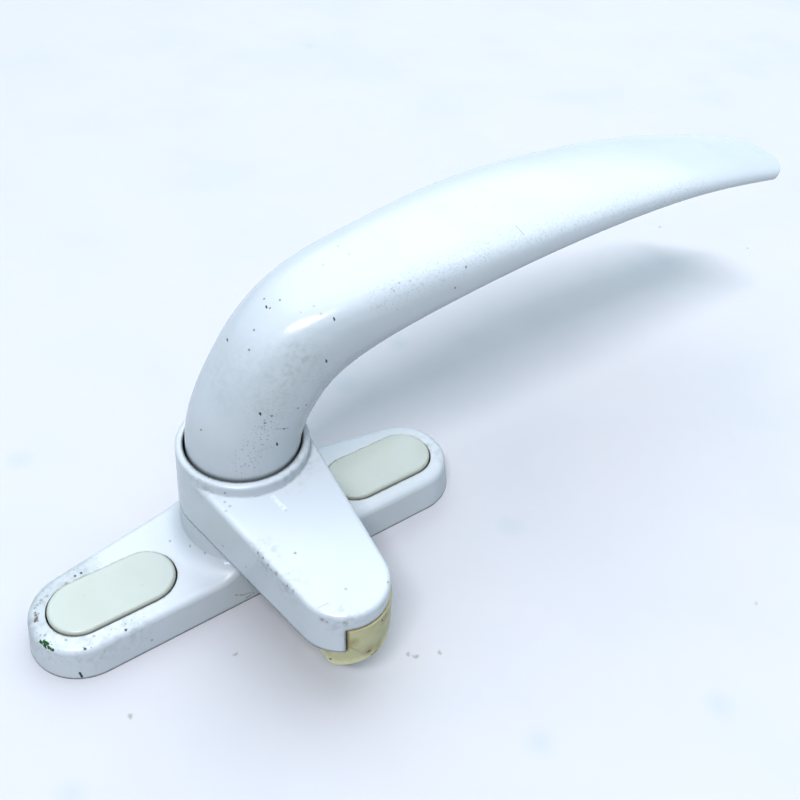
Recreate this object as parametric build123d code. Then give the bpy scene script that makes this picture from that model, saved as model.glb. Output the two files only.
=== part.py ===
import os
from math import acos, atan2, cos, hypot, pi, radians, sin, tan

from build123d import *

# Base plate, drawn with the turning axis at x = 0, y = 0 and the back face at z = 0
hole_spacing = 62.6
hole_line_y = -2.4
plate_height = 7.7
plate_end_radius = 10.8
plate_end_spacing = 75.4
plate_swell_radius = 14.9
plate_draft = 7.0
plate_edge_radius = 1.5
wall = 2.2
rib_spacing = 23.8

# Screw recesses and covers
recess_length = 26.0
recess_width = 13.1
recess_depth = 4.0
screw_hole_radius = 2.6
screw_head_radius = 5.0
screw_boss_radius = 5.9
cover_gap = 0.25
cover_rise = 0.8
cover_skin = 1.3
cover_edge_radius = 0.7

# Boss on the plate
boss_radius = 13.6
boss_height = 16.0
boss_draft = 0.5
boss_flare = 4.0
boss_web = 5.0
hub_radius = 9.6

# Bush and spindle
bush_radius = 7.0
bush_flange_radius = 12.6
bush_flange = 0.6
journal_radius = 5.0
running_gap = 0.04
square_size = 9.0
square_depth = 12.0
square_chamfer = 0.5
thread_radius = 4.0
thread_chamfer = 0.6
spindle_tail = 0.8

# Friction stack under the boss web
washer_radius = 8.6
washer_thickness = 1.2
washer_gap = 0.2
disc_thickness = 0.5
disc_rise = 0.4
disc_radius = 8.2
nut_across_flats = 13.0
nut_height = 4.4
nut_chamfer = 0.7
nut_ring_height = 1.2
nut_ring_radius = 5.0

# Nose
nose_reach = 44.5
nose_tip_radius = 9.0
nose_root_height = 12.8
nose_tip_height = 9.7
nose_draft = 2.4
nose_wall = 2.6
nose_web = 4.4
nose_edge_radius = 0.9
collar_bore_radius = 11.5
collar_height = 14.5
collar_rim_radius = 0.5

# Notch and pad
notch_side = 4.2
notch_height = 6.1
notch_depth = 6.0
pad_gap = 0.4
pad_side = 6.5
pad_thickness = 4.8
pad_length = 24.0
pad_corner_radius = 2.5
pad_edge_radius = 1.2
pad_screw_y = -28.5
pad_screw_radius = 1.75
pad_screw_head_radius = 3.4
pad_screw_length = 9.0
pad_boss_radius = 3.8
cross_length = 3.8
cross_width = 0.8

# Lever: stations along it, each with centre x, centre z, width, thickness, squareness of
# the upper and the lower half of the section, and how far its sides droop
neck_radius = 11.2
lever_stations = [
    (0.0, 30.0, 22.4, 22.4, 2.0, 2.0, 0.0),
    (1.1, 36.0, 21.6, 22.2, 2.1, 2.0, 0.0),
    (4.9, 43.5, 20.6, 22.0, 2.3, 2.0, 0.1),
    (10.8, 50.6, 20.6, 21.4, 2.8, 2.1, 0.4),
    (19.0, 55.3, 22.5, 18.2, 3.8, 2.1, 1.0),
    (33.0, 59.1, 25.1, 14.2, 4.3, 2.1, 1.4),
    (50.0, 62.0, 27.8, 11.0, 4.0, 2.2, 1.3),
    (78.0, 62.9, 28.2, 8.0, 3.0, 2.3, 0.8),
    (110.0, 59.8, 25.4, 6.2, 2.5, 2.3, 0.4),
]
lever_reach = 143.8
lever_tip_z = 52.2
lever_tip_slope = -14.0
lever_tip_width = 18.6
lever_tip_thickness = 4.5
lever_tip_squareness = 2.4
lever_tip_corner = 8.1
tip_side_room = 1.3
tip_edge_room = 0.4
tip_round_share = 0.96
lever_sections = 36
section_points = 24

# Heights that follow from the sizes above
nose_bottom = boss_height + bush_flange + running_gap
nose_floor = nose_bottom + nose_web
web_bottom = boss_height - boss_web
washer_bottom = web_bottom - washer_thickness
disc_height = disc_thickness + disc_rise
nut_top = washer_bottom - 2 * disc_height
nut_bottom = nut_top - nut_height
nose_centre_y = nose_tip_radius - nose_reach
socket_top = nose_floor + square_depth


def outer_tangent(first, first_radius, second, second_radius, side):
    """Points where the outer tangent line touches two circles, on the given side."""
    dx = second[0] - first[0]
    dy = second[1] - first[1]
    turn = acos((first_radius - second_radius) / hypot(dx, dy))
    angle = atan2(dy, dx) + side * turn
    step = (cos(angle), sin(angle))
    start = (first[0] + first_radius * step[0], first[1] + first_radius * step[1])
    end = (second[0] + second_radius * step[0], second[1] + second_radius * step[1])
    return start, end


def plate_outline(inset):
    """Plan of the plate: straight near side, round ends, far side swelling round the boss."""
    end_radius = plate_end_radius - inset
    swell_radius = plate_swell_radius - inset
    half = plate_end_spacing / 2
    left = (-half, hole_line_y)
    right = (half, hole_line_y)
    near_y = hole_line_y - end_radius
    end_left, swell_left = outer_tangent(left, end_radius, (0, 0), swell_radius, 1)
    end_right = (-end_left[0], end_left[1])
    swell_right = (-swell_left[0], swell_left[1])
    edges = [
        Line((-half, near_y), (half, near_y)),
        ThreePointArc((half, near_y), (half + end_radius, hole_line_y), end_right),
        Line(end_right, swell_right),
        ThreePointArc(swell_right, (0, swell_radius), swell_left),
        Line(swell_left, end_left),
        ThreePointArc(end_left, (-half - end_radius, hole_line_y), (-half, near_y)),
    ]
    return make_face(edges)


def oblong(length, width, height):
    """Upright prism with round ends, standing on its local origin."""
    return extrude(SlotOverall(length, width), height)


def ring(outer, inner, height):
    """Upright ring standing on its local origin."""
    return extrude(Circle(outer) - Circle(inner), height)


def top_edges(solid, z):
    """Edges of the solid that lie flat at height z."""
    return [e for e in solid.edges() if abs(e.bounding_box().min.Z - z) < 1e-4
            and abs(e.bounding_box().max.Z - z) < 1e-4]


def upper_rim(solid, z):
    """Upper edges, at height z or above, of the walls that rise from the back face."""
    walls = [f for f in solid.faces() if f.bounding_box().min.Z < 1e-3 < f.bounding_box().max.Z - z / 2]
    return [e for f in walls for e in f.edges() if e.bounding_box().min.Z > z - 1e-3]


def plate_and_flare():
    """Drafted plate whose top rises in a hollow sweep to the boss, with a rounded rim."""
    foot = boss_radius + boss_flare
    top = plate_height + boss_flare
    far = plate_end_spacing / 2 + plate_end_radius + wall
    profile = make_face([
        Line((0, 0), (far, 0)),
        Line((far, 0), (far, plate_height)),
        Line((far, plate_height), (foot, plate_height)),
        RadiusArc((foot, plate_height), (boss_radius, top), boss_flare),
        Line((boss_radius, top), (0, top)),
        Line((0, top), (0, 0)),
    ])
    plate = extrude(plate_outline(0), top, taper=plate_draft) & revolve(Plane.XZ * profile, Axis.Z)
    return fillet(upper_rim(plate, plate_height), plate_edge_radius)


def build_base():
    """Cast plate, boss and flare, hollow from below, with screw and spindle seats."""
    recess_floor = plate_height - recess_depth
    boss = Solid.make_cone(boss_radius + boss_draft, boss_radius, boss_height)
    body = plate_and_flare() + boss

    hollow = extrude(plate_outline(wall), plate_height - wall, taper=plate_draft)
    keep = extrude(Circle(boss_radius + boss_draft), plate_height)
    seats = [Pos(-hole_spacing / 2, hole_line_y), Pos(hole_spacing / 2, hole_line_y)]
    for seat in seats:
        keep += seat * extrude(Circle(screw_boss_radius), plate_height)
        shell = oblong(recess_length + 2 * wall, recess_width + 2 * wall, plate_height)
        keep += seat * (Pos(0, 0, recess_floor - wall) * shell)
    for x in (-rib_spacing / 2, rib_spacing / 2):
        rib = Box(wall, 2 * plate_end_radius, plate_height, align=(Align.CENTER, Align.CENTER, Align.MIN))
        keep += Pos(x, hole_line_y, 0) * rib
    body -= hollow - keep

    countersink = screw_head_radius - screw_hole_radius
    for seat in seats:
        recess = oblong(recess_length, recess_width, recess_depth)
        body -= seat * (Pos(0, 0, recess_floor) * recess)
        body -= seat * extrude(Circle(screw_hole_radius), plate_height)
        cone = Solid.make_cone(screw_hole_radius, screw_head_radius, countersink)
        body -= seat * (Pos(0, 0, recess_floor - countersink) * cone)

    body -= extrude(Circle(hub_radius), web_bottom)
    body -= extrude(Circle(bush_radius), boss_height)
    return body


def build_cover():
    """Moulded cover, a shallow cup upside down on the recess floor."""
    height = recess_depth + cover_rise
    length = recess_length - 2 * cover_gap
    width = recess_width - 2 * cover_gap
    cup = oblong(length, width, height)
    cup = fillet(top_edges(cup, height), cover_edge_radius)
    room = oblong(length - 2 * cover_skin, width - 2 * cover_skin, height - cover_skin)
    return Pos(0, hole_line_y, plate_height - recess_depth) * (cup - room)


def build_bush():
    """Flanged bush, its flange lying on the boss."""
    bore = journal_radius + running_gap
    sleeve = ring(bush_radius, bore, boss_web)
    flange = Pos(0, 0, boss_web) * ring(bush_flange_radius, bore, bush_flange)
    return Pos(0, 0, web_bottom) * (sleeve + flange)


def build_spindle():
    """Spindle: square in nose and lever, round in the bush, thread below."""
    square = extrude(Rectangle(square_size, square_size), socket_top - nose_bottom)
    square = chamfer(square.edges().filter_by(Axis.Z), square_chamfer)
    square = Pos(0, 0, nose_bottom) * square
    journal = Pos(0, 0, web_bottom) * extrude(Circle(journal_radius), nose_bottom - web_bottom)
    tail = extrude(Circle(thread_radius), web_bottom - spindle_tail)
    tail = chamfer(top_edges(tail, 0), thread_chamfer)
    return square + journal + Pos(0, 0, spindle_tail) * tail


def build_disc_springs():
    """Two dished washers, back to back."""
    inner = thread_radius + washer_gap
    dish = make_face([
        Line((inner, 0), (disc_radius, disc_rise)),
        Line((disc_radius, disc_rise), (disc_radius, disc_height)),
        Line((disc_radius, disc_height), (inner, disc_thickness)),
        Line((inner, disc_thickness), (inner, 0)),
    ])
    disc = revolve(Plane.XZ * dish, Axis.Z)
    lower = Pos(0, 0, nut_top) * disc
    upper = Pos(0, 0, washer_bottom) * Rot(180, 0, 0) * disc
    return Compound([lower, upper])


def build_nut():
    """Thin hexagon nut with a collar that holds the locking ring."""
    across_corners = nut_across_flats / cos(pi / 6)
    body = extrude(RegularPolygon(across_corners / 2, 6), nut_height)
    dome = Pos(0, 0, nut_height / 2) * Cylinder(across_corners / 2, nut_height)
    dome = chamfer(dome.edges(), nut_chamfer)
    body = (body & dome) - extrude(Circle(thread_radius), nut_height)
    body -= extrude(Circle(nut_ring_radius), nut_ring_height)
    return Pos(0, 0, nut_bottom) * body


def nose_outline(inset):
    """Plan of the nose: round at the boss, tapering to a round tip."""
    root = boss_radius - inset
    tip = nose_tip_radius - inset
    start, end = outer_tangent((0, 0), root, (0, nose_centre_y), tip, -1)
    edges = [
        Line(start, end),
        ThreePointArc(end, (0, nose_centre_y - tip), (-end[0], end[1])),
        Line((-end[0], end[1]), (-start[0], start[1])),
        ThreePointArc((-start[0], start[1]), (0, root), start),
    ]
    return make_face(edges)


def nose_top_limit(lower):
    """Wedge under the sloping top of the nose, lowered by the given amount."""
    root_z = nose_bottom + nose_root_height - lower
    tip_z = nose_bottom + nose_tip_height - lower
    front = -nose_reach
    slope = (root_z - tip_z) / nose_reach
    back = boss_radius
    side = make_face(Polyline(
        (front, nose_bottom), (back, nose_bottom), (back, root_z + slope * back),
        (front, tip_z), close=True))
    return extrude(Plane.YZ * side, 2 * boss_radius, both=True)


def build_nose():
    """Cast nose with collar, hollow below, notched at the tip."""
    prism = extrude(nose_outline(0), collar_height, taper=nose_draft)
    body = Pos(0, 0, nose_bottom) * prism & nose_top_limit(0)
    slope_edges = body.faces().sort_by(Axis.Z)[-1].edges()
    body = fillet(slope_edges, nose_edge_radius)
    collar = extrude(Circle(boss_radius), collar_height, taper=nose_draft)
    body += Pos(0, 0, nose_bottom) * collar
    rim = nose_bottom + collar_height
    body = fillet(top_edges(body, rim), collar_rim_radius)
    socket = Pos(0, 0, nose_floor) * extrude(Circle(collar_bore_radius), collar_height)
    body -= socket

    cavity = Pos(0, 0, nose_bottom) * extrude(nose_outline(nose_wall), collar_height)
    cavity = cavity & nose_top_limit(nose_wall)
    cavity -= Pos(0, 0, nose_bottom) * extrude(Circle(boss_radius + nose_wall / 2), collar_height)
    pad_boss = Pos(0, pad_screw_y, nose_bottom) * extrude(Circle(pad_boss_radius), collar_height)
    body -= cavity - pad_boss
    screw_bore = extrude(Circle(pad_screw_radius), pad_screw_length - pad_thickness)
    body -= Pos(0, pad_screw_y, nose_bottom) * screw_bore

    notch_end = notch_side + nose_tip_radius
    notch = Box(notch_end, 2 * notch_depth, notch_height, align=(Align.MIN, Align.CENTER, Align.MIN))
    body -= Pos(-notch_side, -nose_reach, nose_bottom) * notch
    body -= Pos(0, 0, nose_bottom) * extrude(Rectangle(square_size, square_size), nose_web)
    return body


def build_pad():
    """Wear pad: plate under the nose and a block that fills the notch, both open to one side."""
    corner = (Align.MIN, Align.MIN)
    strip = Rectangle(pad_side + nose_tip_radius, pad_length, align=corner)
    plan = Pos(-pad_side, -nose_reach) * strip & nose_outline(0)
    plan = fillet(plan.vertices().group_by(Axis.Y)[0], pad_corner_radius)
    tongue = Rectangle(notch_side + nose_tip_radius, notch_depth - pad_gap, align=corner)
    tongue = Pos(pad_gap - notch_side, -nose_reach) * tongue & plan
    pad = extrude(plan, pad_thickness) + extrude(tongue, pad_thickness + notch_height - pad_gap)
    pad = fillet(top_edges(pad, 0), pad_edge_radius)
    pad -= Pos(0, pad_screw_y, 0) * extrude(Circle(pad_screw_radius), pad_thickness)
    sink = pad_screw_head_radius - pad_screw_radius
    pad -= Pos(0, pad_screw_y, 0) * Solid.make_cone(pad_screw_head_radius, pad_screw_radius, sink)
    return Pos(0, 0, nose_bottom - pad_thickness) * pad


def build_pad_screw():
    """Countersunk screw with a cross recess, driven up through the pad."""
    sink = pad_screw_head_radius - pad_screw_radius
    head = Solid.make_cone(pad_screw_head_radius, pad_screw_radius, sink)
    shank = extrude(Circle(pad_screw_radius), pad_screw_length)
    screw = head + shank
    slot = Box(cross_length, cross_width, sink)
    screw -= slot + Rot(0, 0, 90) * slot
    return Pos(0, pad_screw_y, nose_bottom - pad_thickness) * screw


def lever_section(centre, heading, width, thickness, top_squareness, belly_squareness, droop):
    """Closed section across the lever, from a circle towards a rounded rectangle."""
    points = []
    for index in range(section_points):
        angle = 2 * pi * index / section_points
        power = top_squareness if sin(angle) > 0 else belly_squareness
        reach = (abs(cos(angle)) ** power + abs(sin(angle)) ** power) ** (-1 / power)
        across = reach * cos(angle)
        upward = reach * sin(angle) * thickness / 2 - droop * across**2
        points.append(Vector(across * width / 2, upward))
    steps = [index / section_points for index in range(section_points + 1)]
    outline = Edge.make_spline(points, periodic=True, parameters=steps)
    return Plane(origin=centre, x_dir=(0, 1, 0), z_dir=heading) * make_face(outline)


def spline_rates(place, values):
    """Rates of change that carry a smooth curve through the values at their places."""
    span = [after - before for before, after in zip(place, place[1:])]
    rise = [(after - before) / gap for before, after, gap in zip(values, values[1:], span)]
    rates = [rise[0]] + rise[:-1] + [rise[-1]]
    for _ in range(60):
        for i in range(1, len(rise)):
            pull = 3 * (span[i] * rise[i - 1] + span[i - 1] * rise[i])
            side = span[i] * rates[i - 1] + span[i - 1] * rates[i + 1]
            rates[i] = (pull - side) / (2 * (span[i] + span[i - 1]))
    return rates


def spline_at(place, values, rates, along):
    """Value and rate of change of the smooth curve at one place."""
    i = max(k for k in range(len(place) - 1) if place[k] <= along)
    span = place[i + 1] - place[i]
    t = (along - place[i]) / span
    rise = values[i + 1] - values[i]
    value = values[i] + (3 * t**2 - 2 * t**3) * rise
    value += span * ((t**3 - 2 * t**2 + t) * rates[i] + (t**3 - t**2) * rates[i + 1])
    rate = 6 * (t - t**2) * rise / span
    rate += (3 * t**2 - 4 * t + 1) * rates[i] + (3 * t**2 - 2 * t) * rates[i + 1]
    return value, rate


def lever_faces():
    """Evenly spaced sections on smooth curves through the stations."""
    foot = (0.0, nose_floor, 2 * neck_radius, 2 * neck_radius, 2.0, 2.0, 0.0)
    spare = lever_tip_corner
    end_z = lever_tip_z + spare * tan(radians(lever_tip_slope))
    end = (lever_reach + spare, end_z, lever_tip_width, lever_tip_thickness,
           lever_tip_squareness, lever_tip_squareness, 0.0)
    rows = [foot] + lever_stations + [end]
    place = [0.0]
    for before, after in zip(rows, rows[1:]):
        place.append(place[-1] + hypot(after[0] - before[0], after[1] - before[1]))
    columns = list(zip(*rows))
    rates = [spline_rates(place, column) for column in columns]
    faces = []
    for number in range(lever_sections):
        along = place[-1] * number / (lever_sections - 1)
        found = [spline_at(place, *pair, along) for pair in zip(columns, rates)]
        (x, x_rate), (z, z_rate) = found[:2]
        sizes = [value for value, _ in found[2:]]
        faces.append(lever_section((x, 0, z), (x_rate, 0, z_rate), *sizes))
    return faces


def lever_limit():
    """Room for the lever: a slab with rounded edges for the blade's end, a block for the rest."""
    width = lever_tip_width + 2 * tip_side_room
    thickness = lever_tip_thickness + 2 * tip_edge_room
    plan = RectangleRounded(4 * lever_tip_corner, width, lever_tip_corner, align=(Align.MAX, Align.CENTER))
    slab = extrude(plan, thickness)
    slab = fillet(top_edges(slab, 0) + top_edges(slab, thickness), tip_round_share * thickness / 2)
    slab = Pos(0, 0, -thickness / 2) * slab
    block = Box(2 * lever_reach, lever_reach, 2 * lever_reach, align=(Align.MAX, Align.CENTER, Align.CENTER))
    room = slab + Pos(-lever_tip_corner, 0, 0) * block
    return Pos(lever_reach, 0, lever_tip_z) * Rot(0, -lever_tip_slope, 0) * room


def build_lever():
    """Cast lever: neck, elbow and blade in one loft, square socket in the neck."""
    body = loft(lever_faces()) & lever_limit()
    socket = Pos(0, 0, nose_floor) * extrude(Rectangle(square_size, square_size), square_depth)
    return body - socket


base_plate = build_base()
cover = build_cover()
thrust_washer = Pos(0, 0, washer_bottom) * ring(washer_radius, thread_radius + washer_gap, washer_thickness)
nut_ring = Pos(0, 0, nut_bottom) * ring(nut_ring_radius, thread_radius, nut_ring_height)

pieces = {
    "base_plate": base_plate,
    "screw_cover_left": Pos(-hole_spacing / 2, 0, 0) * cover,
    "screw_cover_right": Pos(hole_spacing / 2, 0, 0) * cover,
    "pivot_bush": build_bush(),
    "spindle": build_spindle(),
    "thrust_washer": thrust_washer,
    "disc_springs": build_disc_springs(),
    "lock_nut": build_nut(),
    "nut_ring": nut_ring,
    "nose": build_nose(),
    "nose_pad": build_pad(),
    "pad_screw": build_pad_screw(),
    "lever": build_lever(),
}

# The pieces are written with the middle of the screw line as their origin
os.makedirs("parts", exist_ok=True)
for name, piece in pieces.items():
    export_step(Pos(0, -hole_line_y, 0) * piece, f"parts/{name}.step")
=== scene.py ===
from collections import namedtuple
from math import cos, pi, radians, sin

import bpy
from mathutils import Matrix, Vector

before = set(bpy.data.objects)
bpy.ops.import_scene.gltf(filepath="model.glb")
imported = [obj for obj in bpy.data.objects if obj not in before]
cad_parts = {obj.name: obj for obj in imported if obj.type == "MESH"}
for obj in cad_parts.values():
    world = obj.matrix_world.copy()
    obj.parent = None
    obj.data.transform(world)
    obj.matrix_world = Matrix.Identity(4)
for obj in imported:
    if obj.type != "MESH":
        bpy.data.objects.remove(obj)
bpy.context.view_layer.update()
MM = 0.001

# Camera, in metres and degrees, at the photograph's place
CAMERA_PLACE = (-0.06105, -0.12332, 0.16941)
CAMERA_AZIMUTH = -38.25
CAMERA_ELEVATION = 42.52
CAMERA_ROLL = 4.13
SENSOR_WIDTH = 36.0
LENS = 45.0
IMAGE_SIDE = 800
QUARTER_TURN = 90.0

# Floor, sky and lamps
FLOOR_SIDE = 6.0
ZENITH_COLOUR = (0.85, 1.0, 1.16)
HORIZON_COLOUR = (0.0, 0.13, 0.13)
SKY_STRENGTH = 0.80
SKY_RISE = (0.1, 0.9)
FAR_AZIMUTH = 130.0
FAR_REACH = (0.2, 1.0)
FAR_GLOW = 0.7
BACKDROP_COLOUR = (0.62, 0.65, 0.685)
LAMP_DISTANCE = 8.0
KEY_AZIMUTH = -45.0
KEY_ELEVATION = 59.0
KEY_LENGTH = 3.4
KEY_WIDTH = 0.45
KEY_STRENGTH = 1.56
KEY_COLOUR = (1.045, 1.0, 1.03)
BACK_AZIMUTH = 130.0
BACK_ELEVATION = 60.0
BACK_SPREAD = 80.0
BACK_STRENGTH = 1.0
BACK_COLOUR = (1.00, 1.015, 0.98)
EXPOSURE = 0.41
CONTRAST_GAMMA = 0.66

# Colours as linear values
FLOOR_WHITE = (0.566, 0.550, 0.562)
FLOOR_GREY = (0.51, 0.525, 0.54)
FLOOR_BROWN = (0.25, 0.23, 0.18)
ENAMEL = (0.587, 0.599, 0.616)
ENAMEL_DULL = (0.565, 0.581, 0.592)
# Dark grey of grime and dirt, also used for the painted contact shadow along the plate's foot
GRIME_AND_SHADE = (0.19, 0.21, 0.20)
GREEN_GRIME = (0.29, 0.33, 0.28)
CHIP = (0.02, 0.02, 0.02)
BROWN_CHIP = (0.13, 0.10, 0.07)
GREEN_PAINT = (0.025, 0.11, 0.03)
# Pale colour of the plate's scratches and of the painted glint on the nose, lighter than the enamel
SCRATCH_AND_GLINT_WHITE = (0.80, 0.82, 0.84)
OLD_DIRT = (0.36, 0.34, 0.22)
COVER_CREAM = (0.52, 0.535, 0.505)
COVER_AGED = (0.50, 0.515, 0.47)
NYLON_CREAM = (0.505, 0.477, 0.322)
NYLON_PALE = (0.66, 0.625, 0.43)
NYLON_STAIN = (0.30, 0.22, 0.08)
NYLON_WHITE = (0.70, 0.70, 0.66)
NYLON_COOL = (0.62, 0.65, 0.70)
ZINC = (0.62, 0.62, 0.60)
ZINC_YELLOW = (0.60, 0.55, 0.40)
SPRING_GREY = (0.20, 0.20, 0.21)
SPRING_BLUE = (0.15, 0.16, 0.20)

# Sizes of the CAD model that the marks follow, in metres
AXIS_PLACE = (0.0, 2.4 * MM, 0.0)
COLLAR_TOP = 31.1 * MM
COLLAR_BORE = 11.5 * MM
HOLE_SPACING = 62.6 * MM
RECESS_LENGTH = 26.0 * MM
RECESS_WIDTH = 13.1 * MM
PAD_FOOT = 11.8 * MM

# Soft normals, worn edges, relief and the edges of marks
SOFT_EDGE = 0.4 * MM
NOSE_SOFT_EDGE = 1.1 * MM
BEVEL_SAMPLES = 8
EDGE_FLAT = 0.995
EDGE_TURNED = 0.90
BUMP_STRENGTH = 0.6
ENAMEL_DEPTH = 0.06 * MM
PEEL_SHARE = 0.25
SHAKE_DETAIL = 3.0
SHAKE_MIDDLE = (0.5, 0.5, 0.5)
SPECK_CORE = 0.6
STROKE_CORE = 0.5
NICK_PIXELS = 1.0
PLATE_EXTRA_ROUGHNESS = 0.14
PAD_SUBSURFACE = 0.15
PAD_SUBSURFACE_RADIUS = (1.2 * MM, 0.9 * MM, 0.5 * MM)
TURNING_STRETCH = (0.15, 0.15, 1.0)
FLATTEN = (1.0, 1.0, 0.0)

# Sockets of the node that mixes two colours
MIX_COLOUR = 6
MIX_OTHER = 7
MIX_RESULT = 2

# Round marks at pixels of the photograph, and strokes between pairs of them
Spots = namedtuple("Spots", "colour strength radius core pixels")
Strokes = namedtuple("Strokes", "colour strength radius pairs")


def nicks(pixels):
    """Pairs of pixels for short slanting strokes through the pixels."""
    return [((x, y - NICK_PIXELS), (x + NICK_PIXELS / 2, y + NICK_PIXELS)) for x, y in pixels]


# Marks on the lever
LEVER_BAND = Spots(
    GREEN_GRIME, strength=0.34, radius=6 * MM, core=0.0,
    pixels=[(297, 352), (290, 368), (282, 386), (304, 364), (274, 404)],
)
LEVER_SMUDGES = Spots(
    GRIME_AND_SHADE, strength=0.10, radius=6 * MM, core=0.0,
    pixels=[(217, 378), (223, 390), (239, 374), (250, 362)],
)
# Broad darkening over the lower part of the neck
LEVER_NECK_DARKENING = Spots(
    GRIME_AND_SHADE, strength=0.13, radius=11 * MM, core=0.0,
    pixels=[(250, 425), (246, 445), (262, 450), (232, 455)],
)
LEVER_CREASE = Strokes(
    GRIME_AND_SHADE, strength=0.16, radius=3.5 * MM,
    pairs=[((380, 298), (486, 248)), ((486, 248), (600, 208)), ((600, 208), (700, 186))],
)
LEVER_SPECKLED = Spots(
    GRIME_AND_SHADE, strength=0.55, radius=4 * MM, core=0.2,
    pixels=[(252, 452), (262, 440), (268, 422), (246, 466)],
)
LEVER_FAINT = Spots(
    GRIME_AND_SHADE, strength=0.35, radius=0.34 * MM, core=0.2,
    pixels=[
        (338, 246), (349, 254), (323, 265), (399, 283),
        (410, 281), (321, 314), (314, 306), (394, 291),
    ],
)
LEVER_SCRATCHES = Strokes(
    GRIME_AND_SHADE, strength=0.4, radius=0.16 * MM,
    pairs=[((516, 226), (524, 235)), ((276, 429), (288, 428))],
)
LEVER_SPECKS = Spots(
    CHIP, strength=0.55, radius=0.30 * MM, core=0.3,
    pixels=[
        (264, 299), (270, 308), (249, 350), (201, 430), (284, 429), (265, 423), (272, 416),
        (455, 288), (466, 267), (298, 408), (304, 323), (254, 330), (280, 300), (306, 405),
    ],
)
LEVER_CHIPS = Strokes(
    CHIP, strength=0.85, radius=0.19 * MM,
    pairs=nicks([(334, 319), (266, 307), (227, 340), (326, 361), (277, 444), (260, 414)]),
)

# Marks on the nose
NOSE_DUST = Spots(
    GRIME_AND_SHADE, strength=0.30, radius=5 * MM, core=0.0,
    pixels=[(305, 457), (290, 471), (200, 482), (262, 556), (288, 588), (345, 622)],
)
NOSE_FAINT = Spots(
    GRIME_AND_SHADE, strength=0.40, radius=0.40 * MM, core=0.2,
    pixels=[
        (225, 502), (230, 506), (226, 511), (346, 589), (293, 591),
        (283, 584), (327, 622), (223, 546), (246, 567),
    ],
)
NOSE_SCRATCHES = Strokes(GRIME_AND_SHADE, strength=0.25, radius=0.14 * MM, pairs=[((318, 608), (328, 603))])
NOSE_SPECKS = Spots(
    GRIME_AND_SHADE, strength=0.65, radius=0.36 * MM, core=0.3,
    pixels=[
        (258, 553), (263, 558), (268, 565), (271, 570), (384, 606),
        (388, 582), (295, 553), (286, 510), (225, 493),
    ],
)
NOSE_CHIPS = Spots(
    BROWN_CHIP, strength=0.6, radius=0.65 * MM, core=0.2,
    pixels=[(288, 587), (345, 623), (322, 620), (276, 574)],
)
# Painted glint: a pale streak on the nose's top beside the collar, lighter than the enamel
NOSE_PAINTED_GLINT = Strokes(SCRATCH_AND_GLINT_WHITE, strength=0.35, radius=0.6 * MM, pairs=[((273, 497), (285, 509))])

# Marks on the plate
LEFT_END = [(34, 622), (40, 601), (54, 588), (78, 574)]
PLATE_DUST = Spots(
    GRIME_AND_SHADE, strength=0.25, radius=7 * MM, core=0.0,
    pixels=LEFT_END + [(44, 640), (92, 644), (128, 628), (430, 447)],
)
# Broad darkening over the plate's left end
PLATE_END_DARKENING = Spots(GRIME_AND_SHADE, strength=0.22, radius=6 * MM, core=0.2, pixels=LEFT_END)
PLATE_SPECKS = Spots(
    GRIME_AND_SHADE, strength=0.6, radius=0.40 * MM, core=0.2,
    pixels=[
        (37, 605), (41, 600), (47, 596), (190, 546), (66, 640), (205, 553), (170, 541),
        (152, 640), (60, 590), (66, 583), (35, 608), (45, 635), (94, 636),
    ],
)
PLATE_BROWN = Strokes(
    BROWN_CHIP, strength=0.85, radius=0.36 * MM,
    pairs=[((35, 613), (37, 620)), ((38, 614), (35, 621))],
)
PLATE_SCORES = Strokes(
    BROWN_CHIP, strength=0.7, radius=0.16 * MM,
    pairs=[((235, 595), (243, 595)), ((243, 595), (252, 592)), ((246, 598), (254, 593))],
)
PLATE_SCRATCHES = Strokes(
    SCRATCH_AND_GLINT_WHITE, strength=1.0, radius=0.15 * MM,
    pairs=[((224, 562), (230, 564)), ((225, 564), (229, 562))],
)
PLATE_GREEN = Strokes(
    GREEN_PAINT, strength=1.0, radius=0.34 * MM,
    pairs=[
        ((40, 641), (46, 647)), ((46, 647), (53, 650)),
        ((44, 641), (48, 644)), ((43, 643), (49, 648)),
    ],
)
PLATE_NICKS = Strokes(CHIP, strength=0.9, radius=0.26 * MM, pairs=[((80, 673), (82, 677))])
PLATE_CHIPS = Spots(
    CHIP, strength=0.9, radius=0.34 * MM, core=0.3,
    pixels=[(75, 576), (81, 573), (85, 649), (126, 630)],
)

# Marks on the pad
PAD_STAINS = Spots(
    NYLON_STAIN, strength=0.55, radius=1.9 * MM, core=0.0,
    pixels=[(369, 651), (352, 643), (378, 646), (386, 617)],
)
PAD_LINES = Strokes(
    NYLON_STAIN, strength=0.5, radius=0.30 * MM,
    pairs=[((349, 647), (362, 652)), ((362, 652), (376, 647)), ((376, 647), (386, 630))],
)
PAD_EDGE = Strokes(CHIP, strength=0.6, radius=0.22 * MM, pairs=[((371, 655), (377, 650))])
PAD_SPECKS = Spots(
    CHIP, strength=0.8, radius=0.45 * MM, core=0.2,
    pixels=[(369, 651), (330, 659), (383, 619)],
)

# Marks on the floor
FLOOR_SMUDGES = Spots(
    FLOOR_GREY, strength=0.8, radius=4 * MM, core=0.0,
    pixels=[
        (510, 526), (310, 45), (20, 460), (398, 343),
        (540, 742), (720, 705), (345, 385), (70, 795),
    ],
)
FLOOR_SPECKS = Spots(
    FLOOR_BROWN, strength=0.6, radius=0.65 * MM, core=0.1,
    pixels=[
        (660, 227), (408, 655), (416, 657), (755, 603),
        (440, 652), (235, 655), (748, 248), (130, 716),
    ],
)


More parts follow.
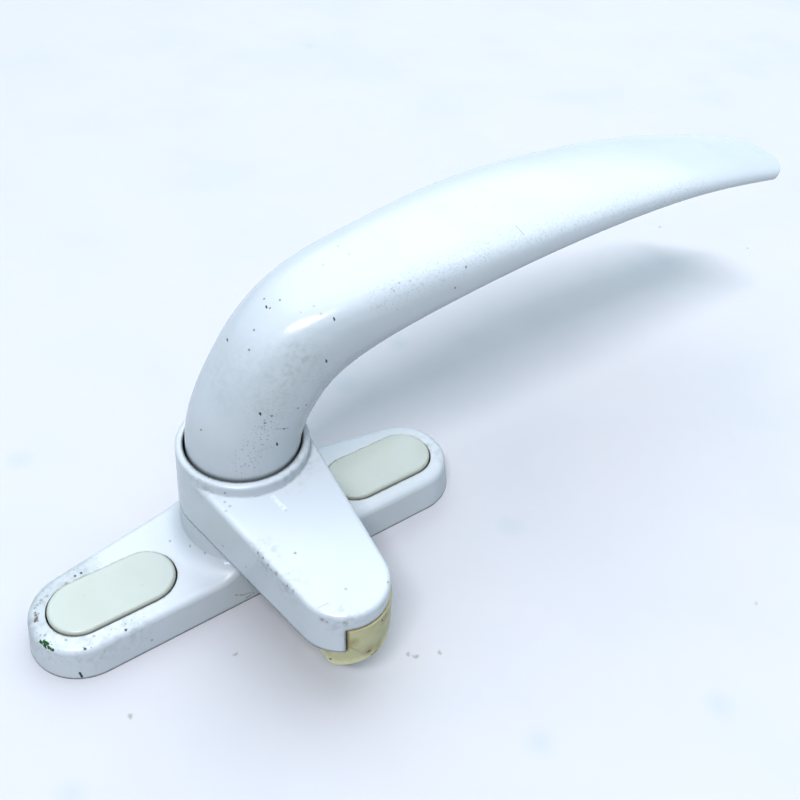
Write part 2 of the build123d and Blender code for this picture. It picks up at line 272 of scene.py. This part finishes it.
def node(tree, kind, inputs, **settings):
    """Adds a shader node, sets its options and fills its inputs with values or other outputs."""
    made = tree.nodes.new("ShaderNode" + kind)
    for name, value in settings.items():
        setattr(made, name, value)
    for key, value in inputs.items():
        socket = made.inputs[key]
        if isinstance(value, bpy.types.NodeSocket):
            tree.links.new(value, socket)
        elif socket.type == "RGBA":
            socket.default_value = (*value, 1)
        else:
            socket.default_value = value
    return made


def maths(tree, operation, *values):
    """Result of a sum, product or other operation on numbers or outputs."""
    return node(tree, "Math", dict(enumerate(values)), operation=operation).outputs[0]


def vectors(tree, operation, *values):
    """Vector that an operation on vectors gives."""
    return node(tree, "VectorMath", dict(enumerate(values)), operation=operation).outputs["Vector"]


def measure(tree, operation, *values):
    """Number that an operation on vectors gives."""
    return node(tree, "VectorMath", dict(enumerate(values)), operation=operation).outputs["Value"]


def ramp(tree, value, first, last, start=0.0, end=1.0):
    """A value stretched so that first to last become start to end, and held beyond them."""
    span = {"Value": value, "From Min": first, "From Max": last, "To Min": start, "To Max": end}
    return node(tree, "MapRange", span).outputs["Result"]


def both(tree, mask, other):
    """Mask that is high where both masks are, or one mask at a share of its height."""
    return maths(tree, "MULTIPLY", mask, other)


def highest(tree, *masks):
    """Mask that is high where any of the masks is."""
    whole = masks[0]
    for mask in masks[1:]:
        whole = maths(tree, "MAXIMUM", whole, mask)
    return whole


def tint(tree, colour, other, mask):
    """One colour with another laid over it where the mask is high."""
    inputs = {"Factor": mask, MIX_COLOUR: colour, MIX_OTHER: other}
    return node(tree, "Mix", inputs, data_type="RGBA").outputs[MIX_RESULT]


def stain(tree, colour, other, mask, strength):
    """One colour with another laid over it, at a strength, where the mask is high."""
    return tint(tree, colour, other, both(tree, mask, strength))


def rougher(tree, roughness, mask, amount):
    """Roughness raised by an amount where the mask is high."""
    return maths(tree, "ADD", roughness, both(tree, mask, amount))


def noise(tree, where, size, detail):
    """Cloudy pattern whose patches are about the given size."""
    inputs = {"Vector": where, "Scale": 1 / size, "Detail": detail}
    return node(tree, "TexNoise", inputs).outputs["Fac"]


def patches(tree, where, size, detail, low, high, start=0.0, end=1.0):
    """Cloudy pattern stretched so that low to high become start to end."""
    return ramp(tree, noise(tree, where, size, detail), low, high, start, end)


def dotted(tree, where, spacing, radius, share):
    """Scattered dots, one in each of a share of the cells of a loose net."""
    cells = node(tree, "TexVoronoi", {"Vector": where, "Scale": 1 / spacing})
    dots = ramp(tree, cells.outputs["Distance"], radius / spacing, SPECK_CORE * radius / spacing)
    chance = node(tree, "SeparateColor", {"Color": cells.outputs["Color"]}).outputs["Red"]
    return both(tree, dots, maths(tree, "LESS_THAN", chance, share))


def height_of(tree, where):
    """Upward part of a place or direction."""
    return node(tree, "SeparateXYZ", {"Vector": where}).outputs["Z"]


def ragged(tree, where, size, amount):
    """Place shaken by a small pattern, so that marks get uneven edges."""
    inputs = {"Vector": where, "Scale": 1 / size, "Detail": SHAKE_DETAIL}
    pattern = node(tree, "TexNoise", inputs).outputs["Color"]
    shake = vectors(tree, "SUBTRACT", pattern, SHAKE_MIDDLE)
    return vectors(tree, "ADD", where, vectors(tree, "MULTIPLY", shake, (amount, amount, amount)))


def spots(tree, where, places, radius, core):
    """Round marks at the places, full out to a share of their radius."""
    masks = []
    for place in places:
        away = measure(tree, "DISTANCE", where, place)
        masks.append(ramp(tree, away, radius, core * radius))
    return highest(tree, *masks)


def strokes(tree, where, runs, radius):
    """Thin marks from the first to the second place of each run."""
    masks = []
    for start, end in runs:
        run = end - start
        offset = vectors(tree, "SUBTRACT", where, start)
        share = ramp(tree, measure(tree, "DOT_PRODUCT", offset, run), 0.0, run.length_squared)
        nearest = node(tree, "VectorMath", {0: run, "Scale": share}, operation="SCALE").outputs["Vector"]
        away = measure(tree, "DISTANCE", offset, nearest)
        masks.append(ramp(tree, away, radius, STROKE_CORE * radius))
    return highest(tree, *masks)


def soft_normal(tree, radius):
    """Normal of the surface with its edges rounded by the radius."""
    return node(tree, "Bevel", {"Radius": radius}, samples=BEVEL_SAMPLES).outputs["Normal"]


def worn_edges(tree, radius):
    """Mask along edges and corners, from how far the surface turns within the radius."""
    true = node(tree, "NewGeometry", {}).outputs["Normal"]
    alike = measure(tree, "DOT_PRODUCT", soft_normal(tree, radius), true)
    return ramp(tree, alike, EDGE_FLAT, EDGE_TURNED)


def direction(azimuth, elevation):
    """Unit vector towards an azimuth and elevation in degrees."""
    turn, rise = radians(azimuth), radians(elevation)
    return Vector((sin(turn) * cos(rise), -cos(turn) * cos(rise), sin(rise)))


def camera_axes():
    """Right, up and backward directions of the camera."""
    roll = radians(CAMERA_ROLL)
    back = direction(CAMERA_AZIMUTH, CAMERA_ELEVATION)
    level = direction(CAMERA_AZIMUTH + QUARTER_TURN, 0)
    upright = back.cross(level)
    right = level * cos(roll) + upright * sin(roll)
    up = upright * cos(roll) - level * sin(roll)
    return right, up, back


def pixel_ray(pixel):
    """Direction from the photograph's camera through a pixel."""
    right, up, back = camera_axes()
    focus = IMAGE_SIDE * LENS / SENSOR_WIDTH
    across = (pixel[0] - IMAGE_SIDE / 2) / focus
    down = (pixel[1] - IMAGE_SIDE / 2) / focus
    return right * across - up * down - back


def place_on(name, pixel):
    """Point of a CAD node that the photograph shows at a pixel, or the one nearest to its ray."""
    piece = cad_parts[name]
    start = Vector(CAMERA_PLACE)
    ray = pixel_ray(pixel)
    hit, place, _, _ = piece.ray_cast(start, ray)
    if hit:
        return place
    middle = sum((Vector(corner) for corner in piece.bound_box), Vector()) / len(piece.bound_box)
    reach = (middle - start).dot(ray) / ray.length_squared
    return piece.closest_point_on_mesh(start + ray * reach)[1]


def floor_place(pixel):
    """Point of the floor that the photograph shows at a pixel."""
    start = Vector(CAMERA_PLACE)
    ray = pixel_ray(pixel)
    return start - ray * (start.z / ray.z)


def mark_mask(tree, where, name, marks):
    """Mask of the spots or strokes on a CAD node."""
    if isinstance(marks, Strokes):
        runs = [(place_on(name, start), place_on(name, end)) for start, end in marks.pairs]
        return strokes(tree, where, runs, marks.radius)
    places = [place_on(name, pixel) for pixel in marks.pixels]
    return spots(tree, where, places, marks.radius, marks.core)


def lay(tree, colour, where, name, marks, pattern=None):
    """Colour of a CAD node with marks laid over it, broken up by a pattern, and the marks' mask."""
    mask = mark_mask(tree, where, name, marks)
    if pattern:
        mask = both(tree, mask, pattern)
    return stain(tree, colour, marks.colour, mask, marks.strength), mask


def lay_on_floor(tree, colour, where, marks):
    """Colour of the floor with spots laid over it."""
    places = [floor_place(pixel) for pixel in marks.pixels]
    mask = spots(tree, where, places, marks.radius, marks.core)
    return stain(tree, colour, marks.colour, mask, marks.strength)


def new_material(name):
    """A node material with its shader joined to its output, and the place on the piece in metres."""
    material = bpy.data.materials.new(name)
    material.use_nodes = True
    tree = material.node_tree
    tree.nodes.clear()
    shader = node(tree, "BsdfPrincipled", {})
    node(tree, "OutputMaterial", {"Surface": shader.outputs["BSDF"]})
    where = node(tree, "TexCoord", {}).outputs["Object"]
    return material, tree, shader, where


def finish_surface(tree, shader, colour, roughness, height, depth, edge=SOFT_EDGE):
    """Joins colour, roughness and a height pattern of the given depth to the shader."""
    tree.links.new(colour, shader.inputs["Base Color"])
    tree.links.new(roughness, shader.inputs["Roughness"])
    relief = {"Height": height, "Distance": depth, "Strength": BUMP_STRENGTH}
    bump = node(tree, "Bump", {**relief, "Normal": soft_normal(tree, edge)})
    tree.links.new(bump.outputs["Normal"], shader.inputs["Normal"])


def enamel_ground(tree, where):
    """Colour and roughness of the white enamel with its dull patches, dust and worn edges."""
    dull = patches(tree, where, size=22 * MM, detail=3.0, low=0.42, high=0.72)
    colour = tint(tree, ENAMEL, ENAMEL_DULL, dull)
    dust = dotted(tree, where, spacing=3.2 * MM, radius=0.18 * MM, share=0.30)
    colour = stain(tree, colour, GRIME_AND_SHADE, dust, strength=0.35)
    patchy = patches(tree, where, size=1.6 * MM, detail=3.0, low=0.50, high=0.62)
    edge = both(tree, worn_edges(tree, radius=0.7 * MM), patchy)
    colour = stain(tree, colour, GRIME_AND_SHADE, edge, strength=0.28)
    gloss = patches(tree, where, size=9 * MM, detail=2.0, low=0.25, high=0.75, start=0.19, end=0.27)
    return colour, rougher(tree, gloss, edge, amount=0.25)


def enamel_height(tree, where, chips):
    """Orange peel of the enamel, with the chips sunk into it."""
    peel = both(tree, noise(tree, where, size=0.9 * MM, detail=1.0), PEEL_SHARE)
    return maths(tree, "SUBTRACT", peel, chips)


def enamel_edges(tree, where):
    """Place shaken for the uneven edges of marks in the enamel."""
    return ragged(tree, where, size=0.6 * MM, amount=0.35 * MM)


def broken_paint(tree, where, low, high):
    """Small patches that break up a mark."""
    return patches(tree, where, size=0.5 * MM, detail=3.0, low=low, high=high)


def lever_dirt(tree, where, rough, colour):
    """Lever's colour under its smudges, a broad darkening over the lower neck, dust and dirt, and the mask
    of the worn band at its elbow.
    """
    patchy = patches(tree, where, size=1.0 * MM, detail=4.0, low=0.38, high=0.70)
    colour, band = lay(tree, colour, where, "lever", LEVER_BAND, patchy)
    colour, _ = lay(tree, colour, where, "lever", LEVER_SMUDGES, patchy)
    colour, _ = lay(tree, colour, where, "lever", LEVER_NECK_DARKENING)
    grains = patches(tree, where, size=0.45 * MM, detail=3.0, low=0.50, high=0.66)
    colour, _ = lay(tree, colour, where, "lever", LEVER_CREASE, grains)
    pepper = dotted(tree, rough, spacing=0.60 * MM, radius=0.18 * MM, share=0.9)
    colour, _ = lay(tree, colour, where, "lever", LEVER_SPECKLED, pepper)
    seam = ramp(tree, height_of(tree, rough), first=COLLAR_TOP + 0.9 * MM, last=COLLAR_TOP - 0.4 * MM)
    return stain(tree, colour, GRIME_AND_SHADE, seam, strength=0.7), band


def lever_enamel():
    """Enamel of the lever, with its specks, scratches and chips."""
    material, tree, shader, where = new_material("lever_enamel")
    rough = enamel_edges(tree, where)
    colour, roughness = enamel_ground(tree, where)
    colour, band = lever_dirt(tree, where, rough, colour)
    for marks in (LEVER_FAINT, LEVER_SCRATCHES, LEVER_SPECKS):
        colour, _ = lay(tree, colour, rough, "lever", marks)
    colour, chips = lay(tree, colour, rough, "lever", LEVER_CHIPS)
    roughness = rougher(tree, roughness, highest(tree, chips, band), amount=0.3)
    finish_surface(tree, shader, colour, roughness, enamel_height(tree, where, chips), ENAMEL_DEPTH)
    return material


def collar_dirt(tree, rough):
    """Mask of the dirt in the joint between collar and neck."""
    flat = vectors(tree, "MULTIPLY", vectors(tree, "SUBTRACT", rough, AXIS_PLACE), FLATTEN)
    return ramp(tree, measure(tree, "LENGTH", flat), first=COLLAR_BORE + 0.45 * MM, last=COLLAR_BORE)


def nose_enamel():
    """Enamel of the nose, with its dust, specks, scratches, brown chips and a painted glint."""
    material, tree, shader, where = new_material("nose_enamel")
    rough = enamel_edges(tree, where)
    colour, roughness = enamel_ground(tree, where)
    patchy = patches(tree, where, size=1.3 * MM, detail=4.0, low=0.46, high=0.66)
    colour, _ = lay(tree, colour, where, "nose", NOSE_DUST, patchy)
    colour = stain(tree, colour, GRIME_AND_SHADE, collar_dirt(tree, rough), strength=0.8)
    for marks in (NOSE_FAINT, NOSE_SCRATCHES):
        colour, _ = lay(tree, colour, rough, "nose", marks)
    colour, dots = lay(tree, colour, rough, "nose", NOSE_SPECKS)
    broken = broken_paint(tree, where, low=0.36, high=0.54)
    colour, chips = lay(tree, colour, rough, "nose", NOSE_CHIPS, broken)
    # Painted glint on the nose's top, laid on as a pale colour
    colour, _ = lay(tree, colour, rough, "nose", NOSE_PAINTED_GLINT, broken)
    roughness = rougher(tree, roughness, highest(tree, chips, dots), amount=0.35)
    height = enamel_height(tree, where, chips)
    finish_surface(tree, shader, colour, roughness, height, ENAMEL_DEPTH, NOSE_SOFT_EDGE)
    return material


def cover_seam(tree, where):
    """Distance from the edge of the nearer screw recess, seen from above."""
    parts = node(tree, "SeparateXYZ", {"Vector": where})
    middle = maths(tree, "SUBTRACT", maths(tree, "ABSOLUTE", parts.outputs["X"]), HOLE_SPACING / 2)
    straight = (RECESS_LENGTH - RECESS_WIDTH) / 2
    beyond = maths(tree, "MAXIMUM", maths(tree, "SUBTRACT", maths(tree, "ABSOLUTE", middle), straight), 0.0)
    flat = node(tree, "CombineXYZ", {"X": beyond, "Y": parts.outputs["Y"]}).outputs["Vector"]
    away = measure(tree, "LENGTH", flat)
    return maths(tree, "ABSOLUTE", maths(tree, "SUBTRACT", away, RECESS_WIDTH / 2))


def plate_dirt_and_shade(tree, where, rough, colour):
    """Plate's colour under its dust, a broad darkening over its left end, a painted contact shadow along
    its foot and the dirt round the covers.
    """
    patchy = patches(tree, where, size=1.5 * MM, detail=4.0, low=0.44, high=0.66)
    dusty = mark_mask(tree, where, "base_plate", PLATE_DUST)
    colour = stain(tree, colour, PLATE_DUST.colour, both(tree, dusty, patchy), PLATE_DUST.strength)
    colour, _ = lay(tree, colour, where, "base_plate", PLATE_END_DARKENING)
    pepper = dotted(tree, where, spacing=0.9 * MM, radius=0.17 * MM, share=0.7)
    colour = stain(tree, colour, CHIP, both(tree, pepper, dusty), strength=0.6)
    # Painted contact shadow: the plate's foot, within half a millimetre of the floor, is darkened
    foot = ramp(tree, height_of(tree, rough), first=0.55 * MM, last=0.10 * MM)
    colour = stain(tree, colour, GRIME_AND_SHADE, foot, strength=0.7)
    seam = ramp(tree, cover_seam(tree, rough), first=0.45 * MM, last=0.05 * MM)
    return stain(tree, colour, OLD_DIRT, both(tree, seam, patchy), strength=0.4)


def plate_paint(tree, where, rough, colour):
    """Plate's colour under its brown and green paint and bare scratches, and the green paint's mask."""
    brown = mark_mask(tree, rough, "base_plate", PLATE_BROWN)
    scores = both(tree, mark_mask(tree, rough, "base_plate", PLATE_SCORES), PLATE_SCORES.strength)
    brown = both(tree, highest(tree, brown, scores), broken_paint(tree, where, low=0.36, high=0.54))
    colour = stain(tree, colour, PLATE_BROWN.colour, brown, PLATE_BROWN.strength)
    colour, _ = lay(tree, colour, rough, "base_plate", PLATE_SCRATCHES)
    green = mark_mask(tree, rough, "base_plate", PLATE_GREEN)
    flaked = both(tree, green, broken_paint(tree, where, low=0.30, high=0.44))
    return stain(tree, colour, PLATE_GREEN.colour, flaked, PLATE_GREEN.strength), green


def plate_enamel():
    """Enamel of the plate, with its dirt, a darkening over its left end, a painted contact shadow along its
    foot, specks, old paint and chips.
    """
    material, tree, shader, where = new_material("plate_enamel")
    rough = enamel_edges(tree, where)
    colour, roughness = enamel_ground(tree, where)
    colour = plate_dirt_and_shade(tree, where, rough, colour)
    colour, _ = lay(tree, colour, rough, "base_plate", PLATE_SPECKS)
    colour, green = plate_paint(tree, where, rough, colour)
    chips = [mark_mask(tree, rough, "base_plate", marks) for marks in (PLATE_NICKS, PLATE_CHIPS)]
    chips = highest(tree, *chips)
    colour = stain(tree, colour, PLATE_CHIPS.colour, chips, PLATE_CHIPS.strength)
    roughness = rougher(tree, roughness, highest(tree, chips, green), amount=0.3)
    roughness = maths(tree, "ADD", roughness, PLATE_EXTRA_ROUGHNESS)
    finish_surface(tree, shader, colour, roughness, enamel_height(tree, where, chips), ENAMEL_DEPTH)
    return material


def cover_plastic():
    """Moulded off-white plastic, aged unevenly, with dust and with dirt in its edge."""
    material, tree, shader, where = new_material("cover_plastic")
    rough = ragged(tree, where, size=0.7 * MM, amount=0.6 * MM)
    aged = patches(tree, where, size=14 * MM, detail=3.0, low=0.40, high=0.70)
    colour = tint(tree, COVER_CREAM, COVER_AGED, aged)
    dust = dotted(tree, where, spacing=2.6 * MM, radius=0.2 * MM, share=0.35)
    colour = stain(tree, colour, GRIME_AND_SHADE, dust, strength=0.35)
    seam = ramp(tree, cover_seam(tree, rough), first=0.70 * MM, last=0.30 * MM)
    colour = stain(tree, colour, OLD_DIRT, seam, strength=0.25)
    roughness = patches(tree, where, size=5 * MM, detail=3.0, low=0.25, high=0.75, start=0.30, end=0.42)
    height = noise(tree, where, size=0.5 * MM, detail=2.0)
    finish_surface(tree, shader, colour, roughness, height, depth=0.02 * MM)
    return material


def pad_ground(tree, where, rough):
    """Yellowed nylon, cloudy and paler at the foot, and the mask of its clouds."""
    cloud = patches(tree, where, size=5 * MM, detail=3.0, low=0.35, high=0.70)
    foot = ramp(tree, height_of(tree, rough), first=PAD_FOOT + 3.4 * MM, last=PAD_FOOT + 1.6 * MM)
    pale = highest(tree, both(tree, cloud, 0.4), foot)
    return tint(tree, NYLON_CREAM, NYLON_PALE, pale), cloud


def pad_nylon():
    """Nylon of the pad, stained brown at its edges and front."""
    material, tree, shader, where = new_material("pad_nylon")
    rough = ragged(tree, where, size=1.2 * MM, amount=1.6 * MM)
    colour, cloud = pad_ground(tree, where, rough)
    colour, _ = lay(tree, colour, rough, "nose_pad", PAD_STAINS)
    colour, _ = lay(tree, colour, where, "nose_pad", PAD_LINES, cloud)
    colour, _ = lay(tree, colour, where, "nose_pad", PAD_EDGE)
    colour, _ = lay(tree, colour, rough, "nose_pad", PAD_SPECKS)
    edge = both(tree, worn_edges(tree, radius=0.6 * MM), cloud)
    colour = stain(tree, colour, NYLON_STAIN, edge, strength=0.4)
    roughness = patches(tree, where, size=2 * MM, detail=4.0, low=0.35, high=0.65, start=0.34, end=0.52)
    height = noise(tree, where, size=0.6 * MM, detail=3.0)
    finish_surface(tree, shader, colour, roughness, height, depth=0.03 * MM)
    shader.inputs["Subsurface Weight"].default_value = PAD_SUBSURFACE
    shader.inputs["Subsurface Radius"].default_value = PAD_SUBSURFACE_RADIUS
    shader.inputs["Subsurface Scale"].default_value = 1.0
    return material


def inner_nylon(name, colour):
    """Clean moulded nylon of the hidden pieces, faintly cloudy and greased in places."""
    material, tree, shader, where = new_material(name)
    cloud = patches(tree, where, size=4 * MM, detail=3.0, low=0.35, high=0.70)
    shade = stain(tree, colour, GRIME_AND_SHADE, cloud, strength=0.25)
    roughness = patches(tree, where, size=2.5 * MM, detail=3.0, low=0.40, high=0.62, start=0.22, end=0.48)
    height = noise(tree, where, size=0.5 * MM, detail=2.0)
    finish_surface(tree, shader, shade, roughness, height, depth=0.02 * MM)
    return material


def metal(name, colour, other, wear):
    """Plated or tempered steel with cloudy colour, fine turning marks and dark specks."""
    material, tree, shader, where = new_material(name)
    cloud = patches(tree, where, size=5 * MM, detail=4.0, low=0.35, high=0.68)
    shade = tint(tree, colour, other, cloud)
    dots = dotted(tree, where, spacing=1.4 * MM, radius=0.16 * MM, share=0.4)
    shade = stain(tree, shade, CHIP, dots, strength=wear)
    stretched = vectors(tree, "MULTIPLY", where, TURNING_STRETCH)
    turned = noise(tree, stretched, size=0.12 * MM, detail=2.0)
    roughness = patches(tree, where, size=1.2 * MM, detail=4.0, low=0.35, high=0.65, start=0.24, end=0.46)
    shader.inputs["Metallic"].default_value = 1.0
    finish_surface(tree, shader, shade, roughness, turned, depth=0.01 * MM)
    return material


def floor_paper():
    """Pale table top with faint cloudy smudges and a few specks."""
    material, tree, shader, where = new_material("floor_paper")
    rough = ragged(tree, where, size=2 * MM, amount=2 * MM)
    cloud = patches(tree, where, size=45 * MM, detail=5.0, low=0.46, high=0.70)
    colour = stain(tree, FLOOR_WHITE, FLOOR_GREY, cloud, strength=0.35)
    for marks in (FLOOR_SMUDGES, FLOOR_SPECKS):
        colour = lay_on_floor(tree, colour, rough, marks)
    roughness = patches(tree, where, size=20 * MM, detail=3.0, low=0.35, high=0.65, start=0.50, end=0.66)
    height = noise(tree, where, size=1.5 * MM, detail=3.0)
    finish_surface(tree, shader, colour, roughness, height, depth=0.02 * MM)
    return material


def dress(names, material):
    """Gives one material to all slots of the named CAD nodes."""
    for name in names:
        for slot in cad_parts[name].material_slots:
            slot.link = "OBJECT"
            slot.material = material


def add_camera():
    """Camera at the photograph's place."""
    data = bpy.data.cameras.new("camera")
    data.sensor_width = SENSOR_WIDTH
    data.lens = LENS
    camera = bpy.data.objects.new("camera", data)
    bpy.context.scene.collection.objects.link(camera)
    turn = Matrix(camera_axes()).transposed().to_4x4()
    camera.matrix_world = Matrix.Translation(CAMERA_PLACE) @ turn
    bpy.context.scene.camera = camera


def add_floor():
    """Plain square floor that the part lies on."""
    half = FLOOR_SIDE / 2
    mesh = bpy.data.meshes.new("floor")
    corners = [(-half, -half, 0), (half, -half, 0), (half, half, 0), (-half, half, 0)]
    mesh.from_pydata(corners, [], [(0, 1, 2, 3)])
    floor = bpy.data.objects.new("floor", mesh)
    bpy.context.scene.collection.objects.link(floor)
    mesh.materials.append(floor_paper())


def add_sky():
    """Soft light from overhead and from the far side, before a plain pale backdrop."""
    world = bpy.data.worlds.new("sky")
    world.use_nodes = True
    tree = world.node_tree
    way = node(tree, "TexCoord", {}).outputs["Generated"]
    far = measure(tree, "DOT_PRODUCT", way, direction(FAR_AZIMUTH, 0))
    glow = ramp(tree, far, *FAR_REACH, end=FAR_GLOW)
    light = highest(tree, ramp(tree, height_of(tree, way), *SKY_RISE), glow)
    colour = tint(tree, HORIZON_COLOUR, ZENITH_COLOUR, light)
    sky = node(tree, "Background", {"Color": colour, "Strength": SKY_STRENGTH}).outputs["Background"]
    backdrop = node(tree, "Background", {"Color": BACKDROP_COLOUR}).outputs["Background"]
    seen = node(tree, "LightPath", {}).outputs["Is Camera Ray"]
    shown = node(tree, "MixShader", {0: seen, 1: sky, 2: backdrop}).outputs["Shader"]
    tree.links.new(shown, tree.nodes["World Output"].inputs["Surface"])
    bpy.context.scene.world = world


def add_lamp(data, colour, way):
    """Hangs a lamp of the given colour in a direction from the part."""
    data.color = colour
    holder = bpy.data.objects.new(data.name, data)
    holder.location = way * LAMP_DISTANCE
    holder.rotation_euler = way.to_track_quat("Z", "Y").to_euler()
    holder.visible_camera = False
    bpy.context.scene.collection.objects.link(holder)


def add_key_lamp():
    """Level strip lamp on the camera's side."""
    data = bpy.data.lights.new("key", "AREA")
    data.shape = "RECTANGLE"
    data.size = KEY_LENGTH
    data.size_y = KEY_WIDTH
    data.energy = KEY_STRENGTH * pi * LAMP_DISTANCE**2
    add_lamp(data, KEY_COLOUR, direction(KEY_AZIMUTH, KEY_ELEVATION))


def add_back_lamp():
    """Wide soft lamp behind the part."""
    data = bpy.data.lights.new("back", "SUN")
    data.angle = radians(BACK_SPREAD)
    data.energy = BACK_STRENGTH
    add_lamp(data, BACK_COLOUR, direction(BACK_AZIMUTH, BACK_ELEVATION))


def set_view():
    """Brightness and contrast of the picture."""
    view = bpy.context.scene.view_settings
    view.view_transform = "Standard"
    view.exposure = EXPOSURE
    view.gamma = CONTRAST_GAMMA


bpy.context.view_layer.update()
dress(["lever"], lever_enamel())
dress(["nose"], nose_enamel())
dress(["base_plate"], plate_enamel())
dress(["screw_cover_left", "screw_cover_right"], cover_plastic())
dress(["nose_pad"], pad_nylon())
dress(["pivot_bush"], inner_nylon("bush_nylon", NYLON_WHITE))
dress(["nut_ring"], inner_nylon("ring_nylon", NYLON_COOL))
plated = metal("plated_steel", ZINC, ZINC_YELLOW, wear=0.3)
dress(["spindle", "thrust_washer", "lock_nut", "pad_screw"], plated)
dress(["disc_springs"], metal("spring_steel", SPRING_GREY, SPRING_BLUE, wear=0.6))

add_camera()
add_floor()
add_sky()
add_key_lamp()
add_back_lamp()
set_view()
